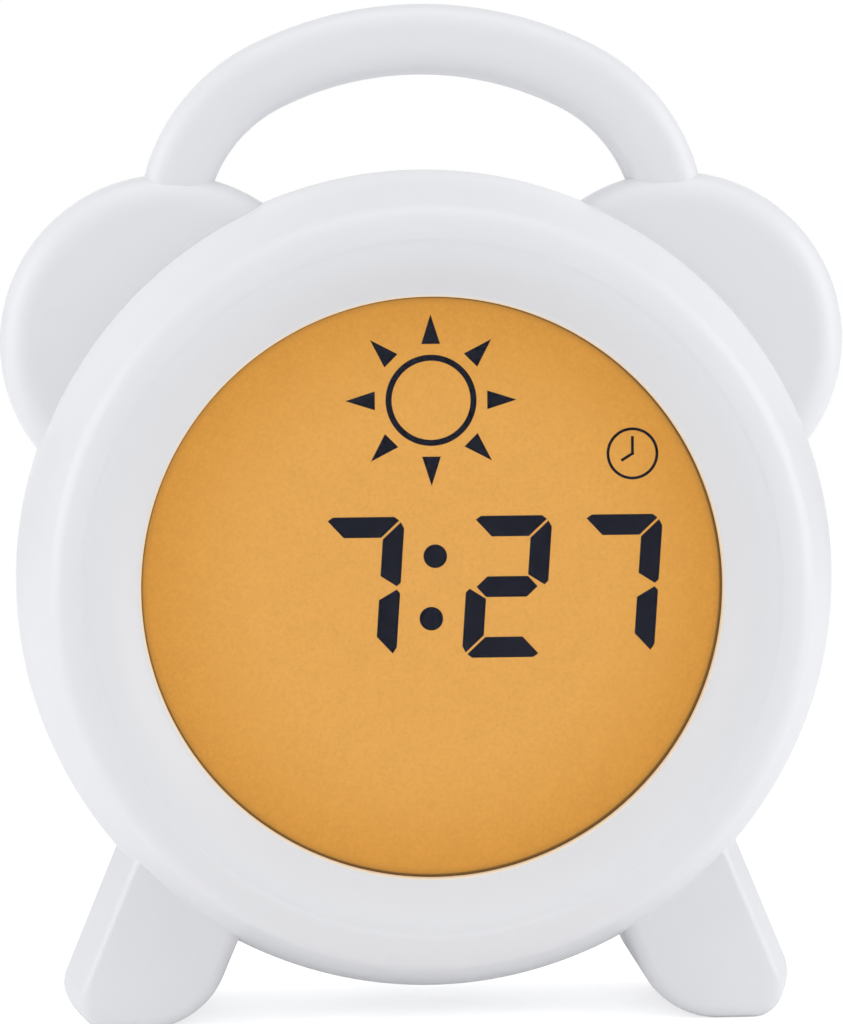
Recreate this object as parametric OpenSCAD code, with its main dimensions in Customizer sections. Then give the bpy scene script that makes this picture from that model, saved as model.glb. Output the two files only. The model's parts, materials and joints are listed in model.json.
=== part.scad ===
// Kids' alarm clock and night light with ears, feet and a carry handle.
// Frame: X to the right seen from the front, Y to the back, Z up. The origin is on the table,
// under the middle of the clock, and the two casing halves meet on the plane Y = 0.
// Sizes are in millimetres.

/* [Body] */
// Outer radius of the round body
body_r = 61.7; // [61:0.1:66]
// Height of the body's centre above the table
body_z = 67.2; // [66:0.1:72]
// Depth of the front casing, from the parting plane to the rim
front_depth = 25; // [24:0.5:30]
// Depth of the rear casing, from the parting plane to the rear face
rear_depth = 25; // [24:0.5:30]
// Wall of both casings
wall = 2.4; // [1.8:0.1:2.6]
// Radius of the rounded front rim
rim_edge_r = 9; // [7:0.5:10]
// Radius of the rounded rear edge
rear_edge_r = 8; // [6:0.5:8]
// How much the body narrows from the parting plane to either edge
draft = 0.5; // [0:0.1:0.8]
// Depth of the fine step inside the rim
rim_step = 0.35; // [0.2:0.05:0.6]
// How far the face rolls in from the step to the screen
roll_drop = 3.3; // [2:0.1:4]

/* [Screen] */
// Width of the white band between the screen and the body's edge
rim_w = 18.3; // [18.1:0.1:21.7]
// Thickness of the edge in front of the lens
lip_t = 1.2; // [0.8:0.1:1.6]
// Thickness of the clear lens
lens_t = 1.5; // [1:0.1:2]
// Thickness of the foam gasket behind the lens
gasket_t = 0.35; // [0.3:0.05:0.6]
// Thickness of the display glass
lcd_t = 2.2; // [1.6:0.1:2.8]
// Thickness of the light guide
guide_t = 3; // [2.5:0.1:3.5]
// Height of the big digits
digit_h = 21.3; // [16:0.1:22]
// Width of the big digits
digit_w = 12.3; // [10:0.1:12.6]
// Width of the bars that make up a digit
seg = 3.1; // [2:0.1:3.4]

/* [Ears] */
// Radius of each ear
ear_r = 25.8; // [23:0.1:27]
// Distance of an ear's centre from the middle plane
ear_x = 38.9; // [36:0.1:40]
// Height of an ear's centre above the body's centre
ear_y = 36.1; // [34:0.1:38]
// Half the thickness of an ear
ear_depth = 8; // [7.5:0.5:12]
// Radius of an ear's rounded edge
ear_edge_r = 4.5; // [3:0.5:5]

/* [Handle] */
// Height of the handle's top above the body's centre
handle_top = 88; // [86:0.5:94]
// Outer radius of the handle's top arc
handle_top_r = 58.7; // [54:0.1:60]
// Outer radius of the handle's side arcs
handle_side_r = 31.4; // [30:0.1:33]
// Half of the angle of the top arc
handle_turn = 26.6; // [24:0.1:28]
// Width of the handle's bar seen from the front
handle_w = 10.4; // [9:0.1:12]
// Half the thickness of the handle's bar
handle_depth = 6.5; // [6:0.1:7.5]
// Radius of the bar's rounded edges
handle_edge_r = 4; // [2.8:0.1:4.4]

/* [Feet] */
// Depth of a foot in front of the parting plane
foot_front = 14.5; // [11:0.5:18]
// Depth of a foot behind the parting plane
foot_rear = 17; // [14:0.5:20]
// Radius of a foot's large inner curve
foot_arc_r = 14; // [12:0.5:16]
// Distance of that curve's centre from the middle plane
foot_arc_x = 43.6; // [42:0.1:45]
// Radius of a foot's outer corner
toe_r = 5; // [4:0.5:6]
// Distance of that corner's centre from the middle plane
toe_x = 50.3; // [49:0.1:52]
// Lean of a foot's outer side
foot_lean = 21; // [18:1:24]
// Radius of a foot's rounded edges
foot_edge_r = 3; // [2.5:0.1:3.5]

/* [Controls] */
// Radius of a button's cap
button_r = 4.8; // [4:0.1:5.5]
// Radius of the arc on which the buttons stand
button_ring = 38; // [37:0.5:39]
// Angle between neighbouring buttons
button_pitch = 27; // [24:0.5:28]
// Travel of a button
button_travel = 0.5; // [0.3:0.1:0.8]
// Depth of the shallow recess round the controls
panel_depth = 0.8; // [0.5:0.1:1.2]
// Travel of a slide switch
switch_travel = 3.6; // [2:0.1:4]
// Gap round a moving control
control_gap = 0.15; // [0.1:0.01:0.25]

/* [Battery bay] */
// Radius of one cell
cell_r = 5.25; // [5:0.05:5.3]
// Length of one cell with its nub
cell_l = 44.5; // [43:0.1:45]
// Room for the contact springs
spring_room = 5.2; // [4.5:0.1:6]
// Thickness of the battery door
door_t = 1.6; // [1.4:0.1:1.8]
// Gap round the battery door
door_gap = 0.25; // [0.2:0.05:0.4]
// Height of the bay's centre below the body's centre
bay_drop = 24.5; // [24:0.1:26]

/* [Speaker] */
// Radius of the speaker
speaker_r = 14.5; // [12:0.5:15]
// Height of the speaker's centre above the body's centre
speaker_y = 12; // [11:0.5:12.5]

/* [Screws] */
// Thread radius of the case screws
screw_r = 1.3; // [1.1:0.05:1.5]
// Radius of a case screw's head
screw_head_r = 2.75; // [2.4:0.05:3]

/* [Hidden] */
BUTTONS = ["mode", "set", "light", "down", "up"];
SWITCHES = ["alarm", "volume"];

$fn = 72;
over = 1;            // how far a cut runs past the face it opens
fit = 0.15;          // clearance of a piece in its seat
arc_steps = 8;       // flats in a quarter round of a profile

white = [0.93, 0.93, 0.95];
grey = [0.55, 0.56, 0.58];
steel = [0.75, 0.76, 0.78];
green = [0.08, 0.36, 0.2];
black = [0.07, 0.07, 0.08];

// Face of the clock
inner_r = body_r - wall;
screen_r = body_r - rim_w;
rim_land = 0.9;                                        // flat crest between the rim's edge and the step
rim_r = body_r - draft;                                // radius where the edges start to round
roll_r = rim_r - rim_edge_r - rim_land;                // where the roll towards the screen starts
roll_arc = (pow(roll_r - screen_r, 2) + pow(roll_drop, 2)) / (2 * roll_drop);
lens_r = screen_r + 2.5;
collar_r = lens_r + fit + 1.5;

// The display stack, each value the front face of its layer
z_lens = front_depth - rim_step - roll_drop - lip_t;
z_gasket = z_lens - lens_t;
z_lcd = z_gasket - gasket_t;
z_guide = z_lcd - lcd_t;
z_tray = z_guide - guide_t;
tray_floor = 1.5;
z_board = z_tray - tray_floor;
board_t = 1.6;
segment_t = 0.12;
guide_h = screen_r + 0.6;                              // half widths of the eight-sided plates
lcd_h = screen_r + 3;
tray_h = lcd_h + 2;
tray_corner_r = inner_r - 1.8;
lcd_corner_r = tray_corner_r - 2.5;
guide_corner_r = lcd_corner_r - 3;

// Posts and boards
post_r = 3;
post_ring = tray_h + 2 + post_r;
board_r = post_ring + post_r + 0.5;
board_screw_r = 1.1;
board_screw_l = 7;
board_head_r = 2.3;
board_head_t = 1.6;

// Case screws, one in each ear and foot
screw_seat = 3.2;                                      // from the parting plane to under the head
screw_head_t = 1.8;
screw_depth = 4.4;                                     // thread length in the front casing
head_room = 0.4;                                       // round a head in its pocket
screw_post_r = screw_head_r + head_room + 1.4;
pilot = 0.03;                                          // a thread's clearance in its pilot hole
screw_ring = body_r + screw_head_r + head_room + 1.5;  // clear of the round wall
ear_screw = screw_ring * unit([ear_x, ear_y]);
foot_screw = screw_ring * unit([foot_arc_x, foot_arc_r - body_z]);

// Rear face and controls
flat_r = rim_r - rear_edge_r;                          // flat part of the rear face
z_rear = -rear_depth;
z_in = z_rear + wall;
z_panel = z_rear + panel_depth;
panel_in = button_ring - button_r - 2.4;
panel_out = button_ring + button_r + 2.4;
panel_turn = 2 * button_pitch + 5;                     // half of the angle that the panel spans
flange_t = 1;
stem_l = 2;
z_stem = z_in + flange_t + stem_l;                     // where a stem meets its plunger
plunger_r = 1.7;
plunger_l = 3;
tact_w = 6;
tact_body = 3.5;
tact_proud = 1.4;                                      // plunger above its switch
z_key = z_stem + tact_proud + tact_body;               // rear face of the key board
key_out = button_ring + 13;
key_start = -14;
key_post_ring = key_out - post_r - 0.4;
key_screw_l = 5;
key_posts = [20, 70, 110, 160];

switch_inset = 13.2;                                   // from the flat face's edge
usb_inset = 12.2;
switch_at = [flat_r - switch_inset, 7];
knob = [4, 2.8];
knob_slot = [knob[0] + switch_travel, knob[1]] + 2 * [control_gap, control_gap];
knob_plate = [knob_slot[0] + switch_travel, knob[1] + 2.4, 0.8];   // hides the slot at both ends
knob_stem = [2, 1.8];
groove = [0.4, 0.35];                                  // width and depth of a knob's grip grooves
housing = [10, 5];
housing_t = 4;
usb_at = [flat_r - usb_inset, -5.4];
usb_size = [8.94, 3.26];
usb_skin = 0.3;
usb_blade = [6.6, 0.7];
usb_back = 1.2;
reset_r = 0.8;

// Battery bay
cell_pitch = 2 * cell_r + 0.5;
contact_t = 0.4;
bay_w = cell_l + spring_room + 2 * contact_t + 0.5;
bay_h = 3 * cell_pitch + 2;
ledge = 1.6;
bay_wall = 1.5;
key_in = bay_w / 2 + bay_wall + 2;                     // the key board passes beside the bay
door_w = bay_w + 2 * ledge - 2 * door_gap;
door_h = bay_h + 2 * ledge - 2 * door_gap;
bay_y = -bay_drop;
z_ledge = z_rear + door_t + 0.1;
cell_z = z_rear + door_t + 0.3 + cell_r;
z_bay_floor = cell_z + cell_r + 0.2;
hook_x = 15;
hook = [6, 2.2, 1.3];
hook_room = 0.4;                                       // round a hook in its notch
rib = [9, 1.2, 2];                                     // length, width and height of a rib between the cells
rib_pitch = 15;
nub_l = 1.2;
nub_r = 1.9;
scoop_r = 10;
scoop_depth = 1.3;
tongue = [12, 9];
tongue_cut = 1;
grip = [7, 0.7, 0.5];                                  // length, width and depth of a grip groove
grip_pitch = 1.5;
grip_start = 2.6;                                      // from the door's edge to the first groove

speaker_at = [0, speaker_y];
speaker_h = 7.5;
speaker_rim = 1.6;                                     // width and height of the frame's flat rim
speaker_skin = 1;                                      // its sheet metal
cup_r = 8;                                             // the frame's cup round the magnet
cup_skin = 0.8;
cup_back = 2.6;                                        // the magnet stands out of the cup by this
magnet_r = 7.1;
magnet_start = 3.5;
collar_h = 3.4;                                        // the casing's collar round the speaker
collar_t = 1.4;
grille_pitch = 3.6;
grille_r = 0.9;

function unit(v) = v / norm(v);

// Points of an arc about c, from angle a to angle b
function arc(c, r, a, b, n = arc_steps) =
    [for (i = [0:n]) c + r * [cos(a + (b - a) * i / n), sin(a + (b - a) * i / n)]];

// An eight-sided outline: half width h, and corners on a circle of radius r
function flat_half(h, r) = sqrt(r * r - h * h);
function eight(h, r) = let (k = flat_half(h, r))
    [[h, k], [k, h], [-k, h], [-h, k], [-h, -k], [-k, -h], [k, -h], [h, -k]];

// Puts what is drawn in the front view, with z towards the viewer, in its place on the clock
module facing() translate([0, 0, body_z]) rotate([90, 0, 0]) children();

module plate(z, t) translate([0, 0, z - t]) linear_extrude(t) children();

module hole(at, r, z0, z1) translate([at[0], at[1], z0]) cylinder(r = r, h = z1 - z0);

module both_sides() {
    children();
    mirror([1, 0, 0]) children();
}

module slot2d(size) {
    square([size[0] - size[1], size[1]], center = true);
    for (s = [-1, 1]) translate([s * (size[0] - size[1]) / 2, 0]) circle(r = size[1] / 2);
}

// ---- Casing, drawn as halves that rise from the parting plane ----

// A disc with a rounded edge that narrows by taper, shrunk by i on all sides
module half_disc(r, depth, edge, i, taper = 0) {
    e = max(edge - i, 0.6);
    foot = i > 0 ? -over : 0;
    rotate_extrude() polygon(concat(
        [[0, foot], [r - i, foot], [r - i, 0]],
        arc([r - taper - i - e, depth - i - e], e, 0, 90),
        [[0, depth - i]]));
}

// One stretch of the handle's bar, from angle a over turn
module handle_arc(r, a, turn, i) {
    e = max(handle_edge_r - i, 0.6);
    foot = i > 0 ? -over : 0;
    out = r - i;
    in = r - handle_w + i;
    top = handle_depth - i;
    rotate_extrude(angle = turn, start = a) polygon(concat(
        [[in, foot], [out, foot]],
        arc([out - e, top - e], e, 0, 90),
        arc([in + e, top - e], e, 90, 180)));
}

module half_handle(i) {
    turn_at = 90 - handle_turn;
    run_out = 8;                                       // the side arcs end inside the ears
    top_c = handle_top - handle_top_r;
    side_c = [0, top_c] + (handle_top_r - handle_side_r) * [cos(turn_at), sin(turn_at)];
    translate([0, top_c]) handle_arc(handle_top_r, turn_at, 2 * handle_turn, i);
    both_sides() translate(side_c) handle_arc(handle_side_r, -run_out, turn_at + run_out, i);
}

// The right foot seen from the front, shrunk by i
function foot_outline(i) = let (
        arc_c = [foot_arc_x, foot_arc_r - body_z],
        toe_c = [toe_x, toe_r - body_z],
        rise = 28,
        top = toe_c + rise * [-sin(foot_lean), cos(foot_lean)]
              + (toe_r - i) * [cos(foot_lean), sin(foot_lean)])
    concat(arc(arc_c, foot_arc_r - i, 180, 270, 2 * arc_steps),
           arc(toe_c, toe_r - i, 270, 360 + foot_lean, arc_steps),
           [top, [foot_arc_x - foot_arc_r + i, top[1]]]);

module half_foot(depth, i) {
    e = max(foot_edge_r - i, 0.6);
    foot = i > 0 ? -over : 0;
    steps = 5;
    hull() {
        translate([0, 0, foot]) linear_extrude(depth - i - e - foot) polygon(foot_outline(i));
        for (k = [1:steps]) {
            a = 90 * k / steps;
            h = depth - i - e + e * sin(a);
            translate([0, 0, h - 0.01]) linear_extrude(0.01) polygon(foot_outline(i + e * (1 - cos(a))));
        }
    }
}

module half_limbs(foot_depth, i) {
    both_sides() {
        translate([ear_x, ear_y]) half_disc(ear_r, ear_depth, ear_edge_r, i);
        half_foot(foot_depth, i);
    }
    half_handle(i);
}

// Section of the front body: the rounded rim, its fine step and the roll towards the screen
module front_body() {
    roll_c = [roll_r, front_depth - rim_step - roll_arc];
    reach = asin((roll_r - screen_r) / roll_arc);
    rotate_extrude() polygon(concat(
        [[0, 0], [body_r, 0]],
        arc([rim_r - rim_edge_r, front_depth - rim_edge_r], rim_edge_r, 0, 90),
        [[roll_r + rim_step, front_depth]],
        arc(roll_c, roll_arc, 90, 90 + reach),
        [[0, front_depth - rim_step - roll_drop]]));
}

// The room inside it, with the collar that centres the lens and the opening for the screen
module front_room() {
    e = rim_edge_r - wall;
    roll_c = [roll_r, front_depth - rim_step - roll_arc];
    in_arc = roll_arc - wall;
    reach = asin((roll_r - collar_r) / in_arc);
    rotate_extrude() polygon(concat(
        [[0, -over], [inner_r, -over], [inner_r, 0]],
        arc([inner_r - draft - e, front_depth - wall - e], e, 0, 90),
        arc(roll_c, in_arc, 90, 90 + reach),
        [[collar_r, z_gasket], [lens_r + fit, z_gasket], [lens_r + fit, z_lens], [screen_r, z_lens],
         [screen_r, front_depth + over], [0, front_depth + over]]));
}

// Screw post in the front casing, from the parting plane into the front wall
module front_posts() {
    boss_r = screw_r + 2.3;
    both_sides() {
        hole(ear_screw, boss_r, 0, ear_depth - wall / 2);
        hole(foot_screw, boss_r, 0, foot_front - wall / 2);
    }
    for (a = [0:90:270]) rotate(a) hole([post_ring, 0], post_r, z_board, front_depth - wall / 2);
}

module front_pilots() {
    both_sides() {
        hole(ear_screw, screw_r + pilot, -over, screw_depth + 0.4);
        hole(foot_screw, screw_r + pilot, -over, screw_depth + 0.4);
    }
    for (a = [0:90:270])
        rotate(a) hole([post_ring, 0], board_screw_r + pilot, z_board - over, z_board + board_screw_l);
}

// Lip inside the parting line, where the round wall runs between the ears and the feet.
// Each stretch has its start angle and its turn
module joint_lip() {
    stretches = [[-36, 50], [74, 32], [166, 50], [244, 52]];
    lip_in = inner_r - fit - 1.2;
    lip_out = inner_r - fit;
    proud = 1.6;
    root = 3;
    for (s = stretches) rotate_extrude(angle = s[1], start = s[0]) polygon([
        [lip_in, -proud], [lip_out, -proud], [lip_out, 0],
        [inner_r + wall / 4, 0], [inner_r + wall / 4, root], [lip_in, root]]);
}

module front_shell() color(white) facing() difference() {
    union() {
        difference() {
            union() {
                front_body();
                half_limbs(foot_front, 0);
            }
            front_room();
            half_limbs(foot_front, wall);
        }
        front_posts();
        joint_lip();
    }
    front_pilots();
}

// ---- Rear casing ----

module rear_body(i) {
    mirror([0, 0, 1]) half_disc(body_r, rear_depth, rear_edge_r, i, draft);
}

module button_at(k) rotate((2 - k) * button_pitch) translate([0, button_ring]) children();

// The shallow recess that the buttons stand in: an arched slot with round ends
module panel_cut() {
    a0 = 90 - panel_turn;
    a1 = 90 + panel_turn;
    end_r = (panel_out - panel_in) / 2;
    end_at = button_ring * [cos(a0), sin(a0)];
    far_end = [-end_at[0], end_at[1]];
    plate(z_panel, panel_depth + over) polygon(concat(
        arc([0, 0], panel_out, a0, a1, 6 * arc_steps),
        arc(far_end, end_r, a1, a1 + 180, 2 * arc_steps),
        arc([0, 0], panel_in, a1, a0, 6 * arc_steps),
        arc(end_at, end_r, a0 + 180, a0 + 360, 2 * arc_steps)));
}

module grille_cut() {
    translate(speaker_at) for (ring = [0:3], k = [0:max(6 * ring - 1, 0)])
        rotate(60 * k / max(ring, 1)) hole([ring * grille_pitch, 0], grille_r, z_rear - over, z_in + over);
}

// Two shallow recesses with a slot, the port's recess and the reset hole
module side_controls_cut() {
    both_sides() translate(switch_at) {
        plate(z_panel, panel_depth + over) slot2d(knob_slot + [4.4, 3]);
        translate([-knob_slot[0] / 2, -knob_slot[1] / 2, z_rear - over])
            cube([knob_slot[0], knob_slot[1], wall + 2 * over]);
    }
    translate(usb_at) {
        plate(z_panel, panel_depth + over) slot2d(usb_size + [3.6, 3.6]);
        plate(z_in + over, wall + 2 * over) slot2d(usb_size + 2 * [fit, fit]);
    }
    hole([-usb_at[0], usb_at[1]], reset_r, z_rear - over, z_in + over);
}

module bay_box(grow, z0, z1) translate([-bay_w / 2 - grow, bay_y - bay_h / 2 - grow, z0])
    cube([bay_w + 2 * grow, bay_h + 2 * grow, z1 - z0]);

// Room for the door, the bay itself, the notches for the door's hooks and a finger scoop
module bay_cut() {
    bay_box(ledge, z_rear - over, z_ledge);
    bay_box(0, z_rear - over, z_bay_floor);
    notch = [hook[0] + 2 * hook_room, hook[1] + ledge + hook_room + 0.1, hook[2] + 3 * hook_room];
    for (s = [-1, 1])
        translate([s * hook_x - notch[0] / 2, bay_y - bay_h / 2 - ledge - hook[1] - hook_room, z_ledge])
            cube(notch);
    translate([0, bay_y + bay_h / 2 + ledge, z_rear + scoop_depth - scoop_r]) rotate([0, 90, 0])
        sphere(r = scoop_r);
}

// Low ribs on the bay's floor that keep the cells apart
module cell_ribs() for (s = [-1, 1], x = [-1, 0, 1])
    translate([x * rib_pitch - rib[0] / 2, bay_y + s * cell_pitch / 2 - rib[1] / 2, z_bay_floor - rib[2]])
        cube([rib[0], rib[1], rib[2] + over]);

module rear_posts() {
    both_sides() {
        hole(ear_screw, screw_post_r, -ear_depth + wall / 2, 0);
        hole(foot_screw, screw_post_r, -foot_rear + wall / 2, 0);
    }
    for (a = key_posts) rotate(a) hole([key_post_ring, 0], post_r, z_in - wall / 2, z_key);
    translate(speaker_at) difference() {
        translate([0, 0, z_in - wall / 4]) cylinder(r = speaker_r + fit + collar_t, h = collar_h + wall / 4);
        translate([0, 0, z_in - wall]) cylinder(r = speaker_r + fit, h = collar_h + 2 * wall);
    }
}

module rear_holes() {
    both_sides() {
        hole(ear_screw, screw_r + 0.3, -screw_seat - over, over);
        hole(foot_screw, screw_r + 0.3, -screw_seat - over, over);
        hole(ear_screw, screw_head_r + head_room, -ear_depth - over, -screw_seat);
        hole(foot_screw, screw_head_r + head_room, -foot_rear - over, -screw_seat);
    }
    for (a = key_posts)
        rotate(a) hole([key_post_ring, 0], board_screw_r + pilot, z_key - key_screw_l - 0.4, z_key + over);
}

module rear_shell() color(white) facing() difference() {
    union() {
        difference() {
            union() {
                rear_body(0);
                mirror([0, 0, 1]) half_limbs(foot_rear, 0);
            }
            rear_body(wall);
            mirror([0, 0, 1]) half_limbs(foot_rear, wall);
        }
        rear_posts();
        bay_box(bay_wall, z_in - wall / 2, z_bay_floor + bay_wall);
    }
    difference() {
        bay_cut();
        cell_ribs();
    }
    panel_cut();
    for (k = [0:4]) button_at(k) hole([0, 0], button_r + control_gap, z_rear, z_in + over);
    grille_cut();
    side_controls_cut();
    rear_holes();
}

// Hooks at the lower edge, and a spring tongue with a ribbed grip at the upper edge
module battery_door() color(white) facing() {
    top = bay_y + door_h / 2;
    low = bay_y - door_h / 2;
    root = 2;                                          // a hook grows from the plate this far up
    z_hook = z_ledge + 0.1;
    difference() {
        union() {
            translate([-door_w / 2, low, z_rear]) cube([door_w, door_h, door_t]);
            for (s = [-1, 1]) translate([s * hook_x - hook[0] / 2, low, 0]) {
                translate([0, -hook[1], z_hook]) cube([hook[0], hook[1] + 2 * root, hook[2]]);
                translate([0, root, z_rear + door_t / 2]) cube([hook[0], root, z_hook - z_rear]);
            }
        }
        for (s = [-1, 1]) translate([s * tongue[0] / 2 - tongue_cut / 2, top - tongue[1], z_rear - over])
            cube([tongue_cut, tongue[1] + over, door_t + 2 * over]);
        for (k = [0:3]) translate([-grip[0] / 2, top - grip_start - grip_pitch * k, z_rear - over])
            cube([grip[0], grip[1], over + grip[2]]);
    }
}

// ---- Screen and backlight ----

module screen_lens() color([0.9, 0.95, 1, 0.4]) facing() translate([0, 0, z_gasket])
    cylinder(r = lens_r, h = lens_t);

module lens_gasket() color(black) facing() plate(z_gasket, gasket_t) difference() {
    circle(r = collar_r);
    circle(r = screen_r + 0.6);
}

module lcd_glass() color([0.9, 0.66, 0.3]) facing() plate(z_lcd, lcd_t)
    polygon(eight(lcd_h, lcd_corner_r));

// Seven-segment digits, whose bars have mitred ends and blunt outer corners
seg_gap = 0.18;                                        // half of the gap between two bars
mitre = seg_gap * sqrt(2);
blunt = 0.55;
digit_slant = 4;

// The top bar: its outer edge runs from the origin to the right
module top_bar() {
    tip = mitre + blunt;
    edge = tip + 1.4 * blunt;
    polygon([[tip, -blunt], [edge, 0], [digit_w - edge, 0], [digit_w - tip, -blunt],
             [digit_w - mitre - seg, -seg], [mitre + seg, -seg]]);
}

// The upper right bar: its outer edge is at x = 0, and y = 0 is the middle of the digit
module side_bar() {
    tip = digit_h / 2 - mitre - blunt;
    polygon([[-blunt, tip], [0, tip - 1.7 * blunt], [0, mitre + blunt], [-blunt, mitre],
             [-seg, seg / 2 + mitre], [-seg, digit_h / 2 - mitre - seg]]);
}

module middle_bar() {
    tip = seg / 2;
    polygon([[tip, 0], [seg, seg / 2], [digit_w - seg, seg / 2], [digit_w - tip, 0],
             [digit_w - seg, -seg / 2], [seg, -seg / 2]]);
}

// Bars a to g of one digit: a is the top bar, then clockwise, and g is the middle bar
module segment(s) {
    if (s == 0) translate([0, digit_h / 2]) top_bar();
    if (s == 1) translate([digit_w, 0]) side_bar();
    if (s == 2) translate([digit_w, 0]) mirror([0, 1]) side_bar();
    if (s == 3) mirror([0, 1]) translate([0, digit_h / 2]) top_bar();
    if (s == 4) mirror([1, 0]) mirror([0, 1]) side_bar();
    if (s == 5) mirror([1, 0]) side_bar();
    if (s == 6) middle_bar();
}

// The bars that are lit in each digit from 0 to 9
BARS = [[0, 1, 2, 3, 4, 5], [1, 2], [0, 1, 6, 4, 3], [0, 1, 6, 2, 3], [5, 6, 1, 2],
        [0, 5, 6, 2, 3], [0, 5, 6, 2, 3, 4], [0, 1, 2], [0, 1, 2, 3, 4, 5, 6], [0, 1, 2, 3, 5, 6]];

// The digit n, with its right edge at x = right in the middle of its height
module digit(n, right) multmatrix([[1, tan(digit_slant), 0, right - digit_w],
                                   [0, 1, 0, 0], [0, 0, 1, 0], [0, 0, 0, 1]])
    for (s = BARS[n]) segment(s);

module ring_mark(r, line) difference() {
    circle(r = r);
    circle(r = r - line);
}

sun_r = 6.8;
sun_line = 0.9;
ray_l = 4.4;
ray_w = 2.8;
ray_gap = 1.6;                                         // between the sun's ring and a ray
clock_r = 3.9;
clock_line = 0.42;

// A plain sun: a ring with eight even rays
module sun_mark() translate([0, screen_r * 0.645]) {
    ring_mark(sun_r, sun_line);
    for (a = [0:45:315]) rotate(a) translate([sun_r + ray_gap, 0])
        polygon([[0, -ray_w / 2], [ray_l, 0], [0, ray_w / 2]]);
}

// A small clock mark: a ring and two hands
module clock_mark() translate([screen_r * 0.695, screen_r * 0.455]) {
    ring_mark(clock_r, clock_line);
    for (hand = [[90, clock_r * 0.72], [212, clock_r * 0.56]]) rotate(hand[0])
        translate([-clock_line / 2, -clock_line / 2]) square([hand[1], clock_line]);
}

// The time on the display: each digit and where its right edge stands
digit_gap = 4.35;
colon_room = 5.5;                                      // wider gap in front of the minutes
last_right = screen_r - 9.4;
tens_right = last_right - digit_w - digit_gap;
hour_right = tens_right - digit_w - digit_gap - colon_room;
time = [[7, hour_right], [2, tens_right], [7, last_right]];
colon_x = (hour_right + tens_right - digit_w) / 2;
colon_y = digit_h * 0.22;
colon_r = seg * 0.57;

module lcd_segments() color([0.13, 0.14, 0.18]) facing() plate(z_lcd + segment_t, segment_t) {
    for (d = time) digit(d[0], d[1]);
    for (s = [-1, 1]) translate([colon_x + s * colon_y * tan(digit_slant), s * colon_y]) circle(r = colon_r);
    sun_mark();
    clock_mark();
}

module light_guide() color([0.95, 0.93, 0.85]) facing() plate(z_guide, guide_t)
    polygon(eight(guide_h, guide_corner_r));

led_t = 1;
led_w = 3.5;
led_pitch = 12;
led_gap = 0.1;                                         // between the guide's edge and an LED
zebra = [50, 1.4];
zebra_y = -(guide_h + 1.2);

// Tray behind the screen, open towards the front
module backlight_tray() color([0.96, 0.96, 0.96]) facing() difference() {
    plate(z_lcd, z_lcd - z_board) polygon(eight(tray_h, tray_corner_r));
    plate(z_lcd + over, z_lcd - z_tray + over) polygon(eight(lcd_h + fit, lcd_corner_r + fit));
    translate([-zebra[0] / 2 - fit, zebra_y - zebra[1] / 2 - fit, z_board - over])
        cube([zebra[0] + 2 * fit, zebra[1] + 2 * fit, tray_floor + 2 * over]);
}

// The boards stand in the tray beside the light guide, and the LEDs on them face the guide's edge
module led_boards() color(green) facing() both_sides() {
    half = flat_half(lcd_h, lcd_corner_r) - 0.5;
    translate([guide_h + led_gap + led_t, -half, z_tray])
        cube([lcd_h - guide_h - led_gap - led_t, 2 * half, guide_t - 0.3]);
}

module backlight_leds() color([1, 0.85, 0.5]) facing() both_sides() for (k = [-2:2])
    translate([guide_h + led_gap, k * led_pitch - led_w / 2, z_tray + 0.1])
        cube([led_t, led_w, guide_t - 0.6]);

module zebra_strip() color([0.9, 0.5, 0.55]) facing()
    translate([-zebra[0] / 2, zebra_y - zebra[1] / 2, z_board]) cube([zebra[0], zebra[1], z_guide - z_board]);

// ---- Boards ----

module main_board() color(green) facing() plate(z_board, board_t) difference() {
    circle(r = board_r);
    for (a = [0:90:270]) rotate(a) translate([post_ring, 0]) circle(r = board_screw_r + 0.3);
}

// Parts on the back of the main board, each with its place, width, height and thickness:
// chip, memory, crystal and connector
BOARD_PARTS = [[[-7, 6], [14, 14], 1.6], [[-26, 10], [6, 5], 1.5],
               [[16, 6], [4, 10], 3], [[-10, -20], [20, 5], 5]];
capacitor = [3, 8];
capacitor_y = -12;
capacitors = [-26, -18, 22];

module board_parts() color(black) facing() {
    z = z_board - board_t;
    for (p = BOARD_PARTS) plate(z, p[2]) translate(p[0]) square(p[1]);
    for (x = capacitors) plate(z, capacitor[1]) translate([x, capacitor_y]) circle(r = capacitor[0]);
}

module board_screws() color(steel) facing() for (a = [0:90:270]) rotate(a) {
    z = z_board - board_t;
    hole([post_ring, 0], board_head_r, z - board_head_t, z);
    hole([post_ring, 0], board_screw_r, z, z_board + board_screw_l - 0.4);
}

// Half ring behind the buttons, carried by four posts of the rear casing
module key_board() color(green) facing() difference() {
    rotate_extrude(angle = 180 - 2 * key_start, start = key_start)
        translate([key_in, z_key]) square([key_out - key_in, board_t]);
    for (a = key_posts)
        rotate(a) hole([key_post_ring, 0], board_screw_r + 0.3, z_key - over, z_key + board_t + over);
}

module key_board_screws() color(steel) facing() for (a = key_posts) rotate(a) {
    z = z_key + board_t;
    hole([key_post_ring, 0], board_head_r, z, z + board_head_t);
    hole([key_post_ring, 0], board_screw_r, z_key - key_screw_l, z);
}

module tact_switches() color(black) facing() for (k = [0:4]) button_at(k) difference() {
    translate([-tact_w / 2, -tact_w / 2, z_key - tact_body]) cube([tact_w, tact_w, tact_body]);
    hole([0, 0], plunger_r + 0.1, z_key - tact_body - over, z_stem + plunger_l + button_travel + 0.2);
}

module plunger(k) color([0.9, 0.9, 0.85]) facing() button_at(k)
    hole([0, 0], plunger_r, z_stem, z_stem + plunger_l);

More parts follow.
